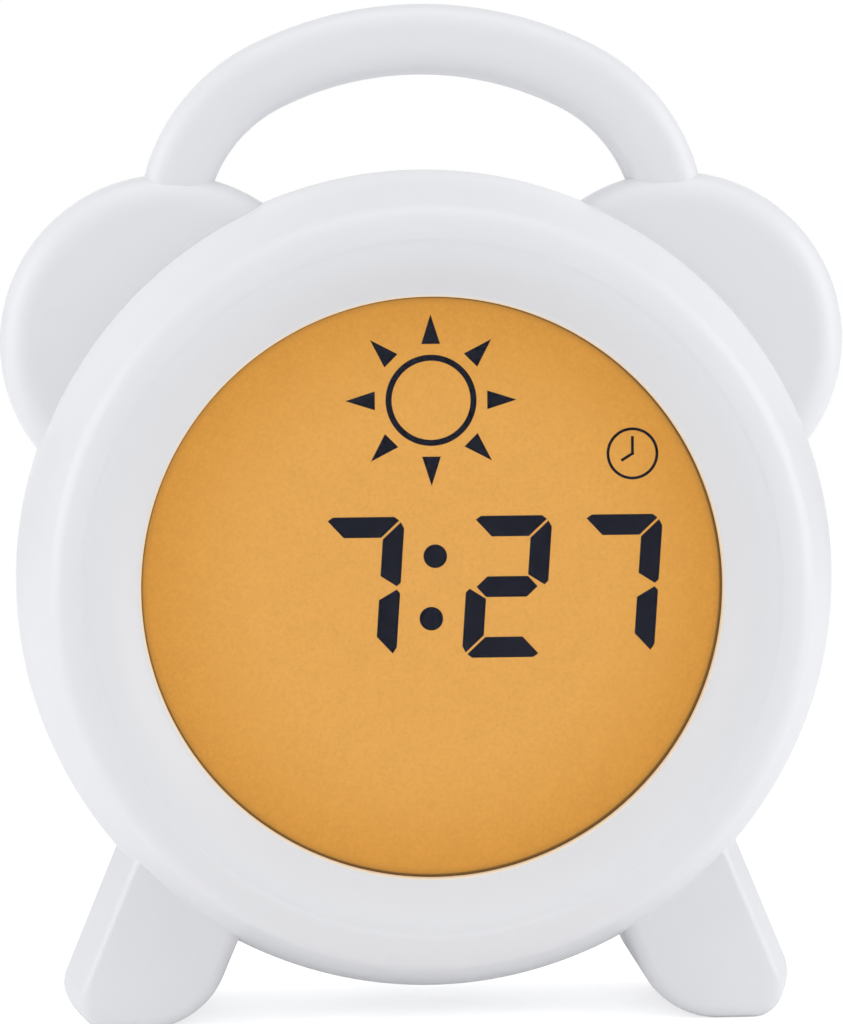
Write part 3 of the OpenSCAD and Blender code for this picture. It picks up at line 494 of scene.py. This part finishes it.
def floor_material():
    """White for the camera beyond the clock's shadow. Other rays see a plain white surface."""
    fade_from, fade_to = 0.12, 0.45  # metres from the clock
    lift_strength, bounce_strength = 0.58, 0.045
    mat, shader = new_material("floor")
    nodes, links = mat.node_tree.nodes, mat.node_tree.links
    set_sockets(shader, {"Base Color": (0.95, 0.95, 0.955, 1), "Roughness": 0.9,
                         "Specular IOR Level": 0.1})
    coords = add_node(nodes, "TexCoord")
    length = add_node(nodes, "VectorMath", "LENGTH")
    links.new(coords.outputs["Object"], length.inputs[0])
    near = add_node(nodes, "MapRange", None, {"From Min": fade_from, "From Max": fade_to})
    links.new(length.outputs["Value"], near.inputs["Value"])
    lift = add_node(nodes, "Emission", None, {"Strength": lift_strength})
    lifted = add_node(nodes, "AddShader")
    links.new(shader.outputs["BSDF"], lifted.inputs[0])
    links.new(lift.outputs["Emission"], lifted.inputs[1])
    white = add_node(nodes, "Emission")
    fade = add_node(nodes, "MixShader")
    links.new(near.outputs["Result"], fade.inputs["Fac"])
    links.new(lifted.outputs["Shader"], fade.inputs[1])
    links.new(white.outputs["Emission"], fade.inputs[2])
    bounce = add_node(nodes, "Emission", None, {"Strength": bounce_strength})
    lit = add_node(nodes, "AddShader")
    links.new(shader.outputs["BSDF"], lit.inputs[0])
    links.new(bounce.outputs["Emission"], lit.inputs[1])
    path = add_node(nodes, "LightPath")
    show = add_node(nodes, "MixShader")
    links.new(path.outputs["Is Camera Ray"], show.inputs["Fac"])
    links.new(lit.outputs["Shader"], show.inputs[1])
    links.new(fade.outputs["Shader"], show.inputs[2])
    out = next(n for n in nodes if n.type == "OUTPUT_MATERIAL")
    links.new(show.outputs["Shader"], out.inputs["Surface"])
    return mat


def make_floor():
    """A white table that keeps the clock's shadow near it and runs out to plain white."""
    radius, sides = 6.0, 64
    turn = np.linspace(0, 2 * math.pi, sides, endpoint=False)
    mesh = bpy.data.meshes.new("floor")
    rim = [(radius * math.cos(a), radius * math.sin(a), 0) for a in turn]
    mesh.from_pydata(rim, [], [tuple(range(sides))])
    floor = bpy.data.objects.new("floor", mesh)
    bpy.context.scene.collection.objects.link(floor)
    mesh.materials.append(floor_material())


# ---- Casing ----


def edge_middle(side_r, edge_r, depth):
    """Radius of the centre of an edge's arc that runs on smoothly from the side's arc."""
    side_c = BELLY_R - side_r
    return side_c + math.sqrt((side_r - edge_r) ** 2 - (depth - edge_r) ** 2)


def on_arc(centre, r, tilt):
    """The point of an arc where its surface leans outward by tilt degrees."""
    t = math.radians(tilt)
    return centre[0] + r * math.sin(t), centre[1] + r * math.cos(t)


LAND_DROP = LAND_R * (math.cos(math.radians(LAND_TILT[0])) - math.cos(math.radians(LAND_TILT[1])))
RIM_TOP = FRONT - LAND_DROP + RIM_EDGE_R * (1 - math.cos(math.radians(LAND_TILT[1])))
CREST_R = edge_middle(FRONT_SIDE_R, RIM_EDGE_R, RIM_TOP)
LAND_END = on_arc((CREST_R, RIM_TOP - RIM_EDGE_R), RIM_EDGE_R, LAND_TILT[1])
LAND_C = on_arc(LAND_END, -LAND_R, LAND_TILT[1])
VALLEY_R = on_arc(LAND_C, LAND_R, LAND_TILT[0])[0]
REAR_FLAT_R = edge_middle(REAR_SIDE_R, REAR_EDGE_R, REAR)
ROLL_R = VALLEY_R - VALLEY_W
LIP_D = FRONT - ROLL_DROP
LENS_D = LIP_D - LIP_T


def side_arcs(side_r, edge_r, middle_r, depth, shrink=0.0, n=32, start=90):
    """Edge and side of one half, from the start angle to the parting plane, drawn in by shrink."""
    side_c = BELLY_R - side_r
    turn = math.degrees(math.atan2(depth - edge_r, middle_r - side_c))
    edge = arc((middle_r, depth - edge_r), edge_r - shrink, start, turn, n)
    return edge + arc((side_c, 0), side_r - shrink, turn, 0, n)[1:]


def seam_notch(r, side=1):
    """The groove on the parting plane, in a profile that runs from the front to the rear."""
    return [(r, side * SEAM), (r - SEAM, 0), (r, -side * SEAM)]


def face_profile():
    """Outside of the body from the screen's edge over the rim and the side to the rear's middle."""
    lip = [(SCREEN_R, LENS_D + LIP_EDGE), (SCREEN_R, LIP_D - LIP_EDGE),
           (SCREEN_R + 0.2 * LIP_EDGE, LIP_D - 0.3 * LIP_EDGE), (SCREEN_R + LIP_EDGE * 2 / 3, LIP_D)]
    start = SCREEN_R + LIP_EDGE
    face_d = FRONT - VALLEY_DROP
    roll = []
    for t in np.linspace(0, 1, 30):
        rise = (face_d - LIP_D) * math.sin(math.pi / 2 * t) ** ROLL_BEND
        roll.append((start + (ROLL_R - start) * t, LIP_D + rise))
    dip = []
    for t in np.linspace(0, 1, 12)[1:-1]:
        rise = VALLEY_DROP * t * t * (3 - 2 * t)
        dip.append((ROLL_R + VALLEY_W * t, face_d + rise - VALLEY_DIP * math.sin(math.pi * t) ** 2))
    land = arc(LAND_C, LAND_R, 90 - LAND_TILT[0], 90 - LAND_TILT[1], 10)[:-1]
    front = land + side_arcs(FRONT_SIDE_R, RIM_EDGE_R, CREST_R, RIM_TOP, start=90 - LAND_TILT[1])
    rear = [(r, -d) for r, d in side_arcs(REAR_SIDE_R, REAR_EDGE_R, REAR_FLAT_R, REAR)]
    back = [(r, -REAR) for r in FLAT_RINGS]
    return lip + roll + dip + front[:-1] + seam_notch(BELLY_R) + rear[::-1][1:] + back


def body_shell():
    """The body's wall: the outside above, and the room inside with the lens's seat."""
    seat_r = LENS_R + FIT
    collar_r = seat_r + COLLAR_T
    seat_d = LENS_D - SEAT_T
    room = [(0, WALL - REAR), (FLAT_RINGS[1], WALL - REAR)]
    room += [(r, -d) for r, d in side_arcs(REAR_SIDE_R, REAR_EDGE_R, REAR_FLAT_R, REAR, WALL, 10)]
    room += side_arcs(FRONT_SIDE_R, RIM_EDGE_R, CREST_R, RIM_TOP, WALL, 10)[::-1][1:]
    room += [(collar_r, FRONT - WALL - COLLAR_DROP), (collar_r, seat_d), (seat_r, seat_d),
             (seat_r, LENS_D), (SCREEN_R, LENS_D)]
    return lathe("body", room + face_profile(), steps=240)


def ear(side):
    """A thick disc with domed faces and rounded edges."""
    flat_r = EAR_R - EAR_EDGE_R
    edge_d = EAR_D - EAR_DOME

    def half(sign):
        top = [(flat_r * t, sign * (EAR_D - EAR_DOME * t ** 2)) for t in np.linspace(0, 1, 6)]
        turn = arc((flat_r, edge_d - EAR_EDGE_R), EAR_EDGE_R, 90, 0, 20)[1:]
        return top + [(r, sign * d) for r, d in turn]

    profile = half(1) + seam_notch(EAR_R) + half(-1)[::-1]
    return lathe("ear", profile, (side * EAR_X, EAR_H + EAR_LIFT), 144)


def handle():
    """A rounded bar swept along the top arc and the two side arcs."""
    turn_at = 90 - HANDLE_TURN
    top_c = np.array([0, HANDLE_TOP - HANDLE_TOP_R])
    turn = math.radians(turn_at)
    side_c = top_c + (HANDLE_TOP_R - HANDLE_SIDE_R) * np.array([math.cos(turn), math.sin(turn)])
    mirrored = np.array([-side_c[0], side_c[1]])
    path = [(side_c, HANDLE_SIDE_R, a) for a in np.linspace(-HANDLE_SINK, turn_at, 36)]
    path += [(top_c, HANDLE_TOP_R, a) for a in np.linspace(turn_at, 180 - turn_at, 60)[1:-1]]
    path += [(mirrored, HANDLE_SIDE_R, a) for a in np.linspace(180 - turn_at, 180 + HANDLE_SINK, 36)]
    outline = rounded_box(HANDLE_W, 2 * HANDLE_D, HANDLE_EDGE_R, n=10)
    half = len(outline) // 2
    left = [(-u, v) for u, v in seam_notch(HANDLE_W / 2)]
    section = outline[:half] + left + outline[half:] + seam_notch(HANDLE_W / 2, -1)
    rings = []
    for c, r, a in path:
        t = math.radians(a)
        rings.append(np.array([(c[0] + (r - HANDLE_W / 2 + u) * math.cos(t),
                                c[1] + (r - HANDLE_W / 2 + u) * math.sin(t), v) for u, v in section]))
    return loft("handle", rings)


def foot_outline(heel_in, toe_in, toe_r, side):
    """A foot from the front, drawn in by heel_in round the heel and toe_in on the outer side."""
    lean = math.radians(TOE_LEAN)
    out = np.array([math.cos(lean), math.sin(lean)])
    heel = arc((HEEL_X, HEEL_R - BODY_Z), HEEL_R - heel_in, 180 + HEEL_LEAN, 270, 28)
    toe_h = heel_in + toe_r
    drawn_in = TOE_R - toe_in - toe_r - (toe_h - TOE_R) * math.sin(lean)
    toe_c = np.array([TOE_X + TOE_OUT + drawn_in / math.cos(lean), toe_h - BODY_Z])
    top = toe_c + FOOT_ROOT * np.array([-out[1], out[0]]) + toe_r * out
    inner_x = heel[0][0] - (top[1] - heel[0][1]) * math.tan(math.radians(HEEL_LEAN))
    points = heel + arc(toe_c, toe_r, 270, 360 + TOE_LEAN, 14) + [tuple(top), (inner_x, top[1])]
    return [(side * (x + FOOT_OUT), h) for x, h in points]


def foot(side):
    """A foot with a leaning outer side, a tight edge there and a softer one round the heel."""
    def ring(heel_in, toe_in, toe_r, d):
        return np.array([(x, h, d) for x, h in foot_outline(heel_in, toe_in, toe_r, side)])

    def stretch(sign, depth):
        """Rings from the end face over its edge to near the parting plane."""
        edge_d = depth - HEEL_EDGE_R
        found = []
        for t in np.radians(np.linspace(90, 0, 11)):
            shrink = 1 - math.cos(t)
            d = edge_d + HEEL_EDGE_R * math.sin(t)
            toe_in = TOE_DRAFT + TOE_EDGE_R * shrink
            found.append(ring(HEEL_EDGE_R * shrink, toe_in, TOE_FRONT_R, sign * d))
        for share in np.linspace(1, 0, 9)[1:-1]:
            toe_in = TOE_DRAFT * share ** DRAFT_BEND
            toe_r = TOE_R + (TOE_FRONT_R - TOE_R) * share
            found.append(ring(0, toe_in, toe_r, sign * edge_d * share))
        return found

    seam = [ring(0, 0, TOE_R, -SEAM), ring(SEAM, SEAM, TOE_R - SEAM, 0), ring(0, 0, TOE_R, SEAM)]
    return loft("foot", stretch(-1, FOOT_REAR) + seam + stretch(1, FOOT_FRONT)[::-1])


def half_space(sign):
    """A block that covers everything behind the parting plane, or everything in front of it."""
    far = 200
    outline = [(-far, -far), (far, -far), (far, far), (-far, far)]
    return prism("half", outline, 0, sign * far)


def button_places():
    """The centres of the five buttons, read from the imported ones."""
    names = ("mode", "set", "light", "down", "up")
    return [middle(n + "_button")[:2] for n in names]


def inner_room():
    """The room that the roots of the ears, the handle and the feet are cleared out of."""
    wide_r = BODY_R - WALL - ROOM_GAP
    low, high = WALL - REAR, FRONT - WALL - ROOM_TOP
    profile = [(0, low), (wide_r, low + ROOM_SLOPE), (wide_r, high), (0, high)]
    return lathe("room", profile, steps=120)


def dress_piece(obj, mat, node):
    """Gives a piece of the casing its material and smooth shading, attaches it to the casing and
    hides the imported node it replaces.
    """
    obj.data.materials.clear()
    obj.data.materials.append(mat)
    smooth(obj)
    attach(obj, "casing")
    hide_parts(node)


def make_casing(white):
    """The two half shells, cut from one body at the parting plane."""
    front = body_shell()
    for part in (ear(-1), ear(1), handle(), foot(-1), foot(1)):
        combine(front, part, "UNION")
    combine(front, inner_room(), "DIFFERENCE")
    rear = front.copy()
    rear.data = front.data.copy()
    bpy.context.scene.collection.objects.link(rear)
    combine(front, half_space(-1), "DIFFERENCE")
    combine(rear, half_space(1), "DIFFERENCE")
    front.name, rear.name = "front_casing", "rear_casing"
    cut_rear(rear)
    dress_piece(front, white, "front_shell")
    dress_piece(rear, white, "rear_shell")


# ---- Rear details, in millimetres ----

OVER = 1.0               # how far a cut stands past the face it goes through
SKIN = 0.001             # a step too small to see, which keeps two faces or two corners apart
PANEL_D = 0.8            # depth of the recesses round the buttons, the knobs and the inlet
PANEL_RIM, PANEL_END = 2.4, 5.0  # room round the buttons, and degrees past the last of them
BUTTON_RING, BUTTON_R, BUTTON_PITCH = 38.0, 4.8, 27.0
CONTROL_GAP = 0.15
SOUND_PITCH, SOUND_R, SOUND_RINGS = 3.6, 0.9, 4
SMALL_FLARE = 0.2        # chamfer at the mouth of a small hole
RECESS_FLARE = 0.3
SWITCH_TRAVEL = 3.6
KNOB = (4.0, 2.8)
KNOB_RIM = (4.4, 3.0)    # how much longer and taller the recess is than its slot
SLOT_CORNER_R = 0.2
USB = (8.94, 3.26)
USB_RIM = 3.6
RESET_R = 0.8
DOOR_T, DOOR_SEAT, LEDGE = 1.6, 0.1, 1.6
CELL_D, CELL_FRONT, CELL_BACK = 10.5, 0.3, 0.2  # a cell's diameter, and the gaps on both sides of it
BAY_W, BAY_H, BAY_DROP, BAY_WALL, BAY_CORNER_R = 51.0, 35.0, 24.5, 1.5, 0.6
SCOOP_R, SCOOP_D = 10.0, 1.3
HOOK_X, HOOK_W, HOOK_L = 15.0, 6.0, 2.2
HOOK_GAP, NOTCH_D, NOTCH_LAP, NOTCH_CORNER_R = 0.4, 2.5, 0.1, 0.3
SCREW_SEAT, SCREW_R, SCREW_REACH = 3.2, 1.3, 4.4
SCREW_HEAD_R, SCREW_HEAD_T, SCREW_DOME = 2.75, 1.8, 0.7
SCREW_GAP, SCREW_HOLE_R, WELL_WALL = 0.4, 1.6, 1.5
CROSS = (2.9, 0.7, 1.0)  # length, width and depth of the recess in a screw's head

REAR_INSIDE = WALL - REAR
RECESS_FLOOR = -REAR + PANEL_D
LEDGE_FLOOR = -REAR + DOOR_T + DOOR_SEAT
BAY_FLOOR = -REAR + DOOR_T + CELL_FRONT + CELL_D + CELL_BACK
BAY_C = (0, -BAY_DROP)


def slot_outline(w, h, centre):
    """Outline of a slot with half round ends."""
    return rounded_box(w, h, h / 2 - SKIN, centre, 10)


def panel_outline():
    """The arched slot with round ends that the buttons stand in."""
    turn = 2 * BUTTON_PITCH + PANEL_END
    inner, outer = BUTTON_RING - BUTTON_R - PANEL_RIM, BUTTON_RING + BUTTON_R + PANEL_RIM
    a0, a1 = 90 - turn, 90 + turn
    end = (BUTTON_RING * math.cos(math.radians(a0)), BUTTON_RING * math.sin(math.radians(a0)))
    r = (outer - inner) / 2
    return (arc((0, 0), outer, a0, a1, 80) + arc((-end[0], end[1]), r, a1, a1 + 180, 20)[1:-1]
            + arc((0, 0), inner, a1, a0, 80) + arc(end, r, a0 + 180, a0 + 360, 20)[1:-1])


def bore(at, r, d1, steps):
    """A plain round hole from behind the rear face to d1."""
    out = -REAR - OVER
    return lathe("bore", [(0, out), (r, out), (r, d1), (0, d1)], at, steps)


def round_cut(at, r, d1, flare, steps):
    """A round hole from behind the rear face to d1, with a chamfer at its mouth."""
    out = -REAR - OVER
    profile = [(0, out), (r + flare + OVER, out), (r, -REAR + flare), (r, d1), (0, d1)]
    return lathe("hole", profile, at, steps)


def button_cuts():
    """The buttons' recess and their holes."""
    cuts = [prism("panel", panel_outline(), -REAR - OVER, RECESS_FLOOR)]
    return cuts + [bore(at, BUTTON_R + CONTROL_GAP, REAR_INSIDE + OVER, 64) for at in button_places()]


def sound_holes():
    """Rings of small holes behind the speaker, six more in each ring."""
    x, h = middle("speaker_magnet")[:2]
    holes = []
    for ring in range(SOUND_RINGS):
        for k in range(max(6 * ring, 1)):
            a = math.radians(60 * k / max(ring, 1))
            at = (x + ring * SOUND_PITCH * math.cos(a), h + ring * SOUND_PITCH * math.sin(a))
            holes.append(round_cut(at, SOUND_R, REAR_INSIDE + OVER, SMALL_FLARE, 24))
    return holes


def side_cuts():
    """The recesses and openings of the two slide switches and the power inlet, and the reset hole."""
    face = -REAR - SKIN
    inside = REAR_INSIDE + OVER
    cuts = []
    for node in ("alarm_switch_knob", "volume_switch_knob"):
        at = middle(node)[:2] + (SWITCH_TRAVEL / 2, 0)
        w, h = KNOB[0] + SWITCH_TRAVEL + 2 * CONTROL_GAP, KNOB[1] + 2 * CONTROL_GAP
        around = slot_outline(w + KNOB_RIM[0], h + KNOB_RIM[1], at)
        cuts.append(prism("recess", around, face, RECESS_FLOOR, RECESS_FLARE))
        cuts.append(prism("slot", rounded_box(w, h, SLOT_CORNER_R, at), face, inside))
    x, h = middle("usb_port")[:2]
    around = slot_outline(USB[0] + USB_RIM, USB[1] + USB_RIM, (x, h))
    cuts.append(prism("recess", around, face, RECESS_FLOOR, RECESS_FLARE))
    cuts.append(prism("port", slot_outline(USB[0] + 2 * FIT, USB[1] + 2 * FIT, (x, h)), face, inside))
    cuts.append(round_cut((-x, h), RESET_R, inside, SMALL_FLARE, 24))
    return cuts


def bay_cuts():
    """The door's ledge, the cells' bay, the two hooks' notches and the thumb scoop."""
    face = -REAR - SKIN
    rim = rounded_box(BAY_W + 2 * LEDGE, BAY_H + 2 * LEDGE, BAY_CORNER_R, BAY_C)
    cuts = [prism("ledge", rim, face, LEDGE_FLOOR, SMALL_FLARE),
            prism("bay", rounded_box(BAY_W, BAY_H, BAY_CORNER_R, BAY_C), face, BAY_FLOOR)]
    bay_low = -BAY_DROP - BAY_H / 2
    low, high = bay_low - LEDGE - HOOK_L - HOOK_GAP, bay_low + NOTCH_LAP
    for s in (-1, 1):
        at = (s * HOOK_X, (low + high) / 2)
        notch = rounded_box(HOOK_W + 2 * HOOK_GAP, high - low, NOTCH_CORNER_R, at)
        cuts.append(prism("notch", notch, LEDGE_FLOOR, LEDGE_FLOOR + NOTCH_D))
    cap = arc((0, -REAR + SCOOP_D - SCOOP_R), SCOOP_R, 90, 40, 24)
    profile = [(r if r > TINY else 0, d) for r, d in cap] + [(0, cap[-1][1])]
    cuts.append(lathe("scoop", profile, (0, -BAY_DROP + BAY_H / 2 + LEDGE), 96))
    return cuts


def screw_places():
    """The centres of the screws in the ears and the feet, just outside the body's side."""
    ring = BODY_R + SCREW_HEAD_R + SCREW_GAP + WELL_WALL
    places = []
    for x, h in ((EAR_X, EAR_H), (FOOT_ARC_X, FOOT_ARC_R - BODY_Z)):
        length = math.hypot(x, h)
        places += [(s * ring * x / length, ring * h / length) for s in (-1, 1)]
    return places


def screw_cuts():
    """A well for each screw's head, and the hole for its shank."""
    cuts = []
    for at in screw_places():
        cuts.append(round_cut(at, SCREW_HEAD_R + SCREW_GAP, -SCREW_SEAT, RECESS_FLARE, 48))
        cuts.append(bore(at, SCREW_HOLE_R, OVER, 24))
    return cuts


def cut_rear(rear):
    """Adds the cells' bay to the rear half and cuts all that goes through its wall."""
    box = rounded_box(BAY_W + 2 * BAY_WALL, BAY_H + 2 * BAY_WALL, 2 * BAY_CORNER_R, BAY_C)
    combine(rear, prism("bay_box", box, REAR_INSIDE - OVER, BAY_FLOOR + BAY_WALL), "UNION")
    for cut in button_cuts() + sound_holes() + side_cuts() + bay_cuts() + screw_cuts():
        combine(rear, cut, "DIFFERENCE")


def make_screws(steel):
    """Pan-head screws with a cross recess, one in each ear and foot."""
    back = -SCREW_SEAT - SCREW_HEAD_T
    dome = [(SCREW_HEAD_R * math.sin(t), back + SCREW_DOME * (1 - math.cos(t)))
            for t in np.radians(np.linspace(0, 90, 9))]
    profile = dome + [(SCREW_HEAD_R, -SCREW_SEAT), (SCREW_R, -SCREW_SEAT),
                      (SCREW_R, SCREW_REACH - SCREW_R), (0, SCREW_REACH)]
    length, width, depth = CROSS
    screws = None
    for at in screw_places():
        screw = lathe("case_screw", profile, at, 48)
        for w, h in ((length, width), (width, length)):
            bar = prism("cross", rounded_box(w, h, width / 4, at, 2), back - OVER, back + depth)
            combine(screw, bar, "DIFFERENCE")
        screws = combine(screws, screw, "UNION") if screws else screw
    dress_piece(screws, steel, "case_screws")


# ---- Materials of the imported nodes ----

FINISH = {
    "casing": dict(colour=(0.79, 0.795, 0.815), roughness=0.40, spread=0.006, bump=0.05, patch=25),
    "gasket": dict(colour=(0.02, 0.02, 0.022), roughness=0.9, spread=0.2, grain=4000, bump=0.5,
                   depth=0.0001),
    "segments": dict(colour=srgb(36, 38, 50)[:3], roughness=0.6, spread=0.08, patch=900,
                     gloss_level=0.06),
    "light_guide": dict(colour=(0.85, 0.8, 0.65), roughness=0.35),
    "tray": dict(colour=(0.85, 0.85, 0.85), roughness=0.5),
    "led": dict(colour=(0.9, 0.7, 0.25), roughness=0.3),
    "circuit_board": dict(colour=(0.012, 0.12, 0.05), roughness=0.3, spread=0.15, patch=400),
    "black_plastic": dict(colour=(0.02, 0.02, 0.022), roughness=0.45, spread=0.15),
    "steel": dict(colour=(0.62, 0.62, 0.64), roughness=0.3, metallic=1.0, spread=0.06, grain=5000,
                  bump=0.2),
    "zebra": dict(colour=(0.75, 0.22, 0.26), roughness=0.6, spread=0.2, patch=3000),
    "speaker_paper": dict(colour=(0.02, 0.02, 0.02), roughness=0.85, spread=0.3, grain=3000, bump=0.6,
                          depth=0.0001),
    "ribbon": dict(colour=(0.6, 0.6, 0.62), roughness=0.5),
    "red_lead": dict(colour=(0.5, 0.02, 0.02), roughness=0.45),
    "black_lead": dict(colour=(0.02, 0.02, 0.022), roughness=0.45),
    "cell": dict(colour=(0.03, 0.16, 0.07), roughness=0.3, spread=0.08, metallic=0.3),
    "button": dict(colour=(0.27, 0.28, 0.30), roughness=0.5, spread=0.05, bump=0.15),
    "plunger": dict(colour=(0.75, 0.74, 0.66), roughness=0.5),
}


def dress_nodes(finish):
    """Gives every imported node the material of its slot, and smooth shading."""
    for part in frame["record"]["subparts"]:
        node = frame["nodes"][part["node"]]
        node.data.materials.clear()
        node.data.materials.append(finish[part["material_slot"]])
        smooth(node, 30)


make_camera()
make_lamps()
make_world()
make_floor()
bpy.context.scene.view_settings.view_transform = "Standard"

finish = {slot: surface(slot, **look) for slot, look in FINISH.items()}
finish["display"] = amber_glass()
finish["lens"] = clear_lens()
painted_edge_glow(finish["casing"])
dress_nodes(finish)
make_casing(finish["casing"])
make_screws(finish["steel"])
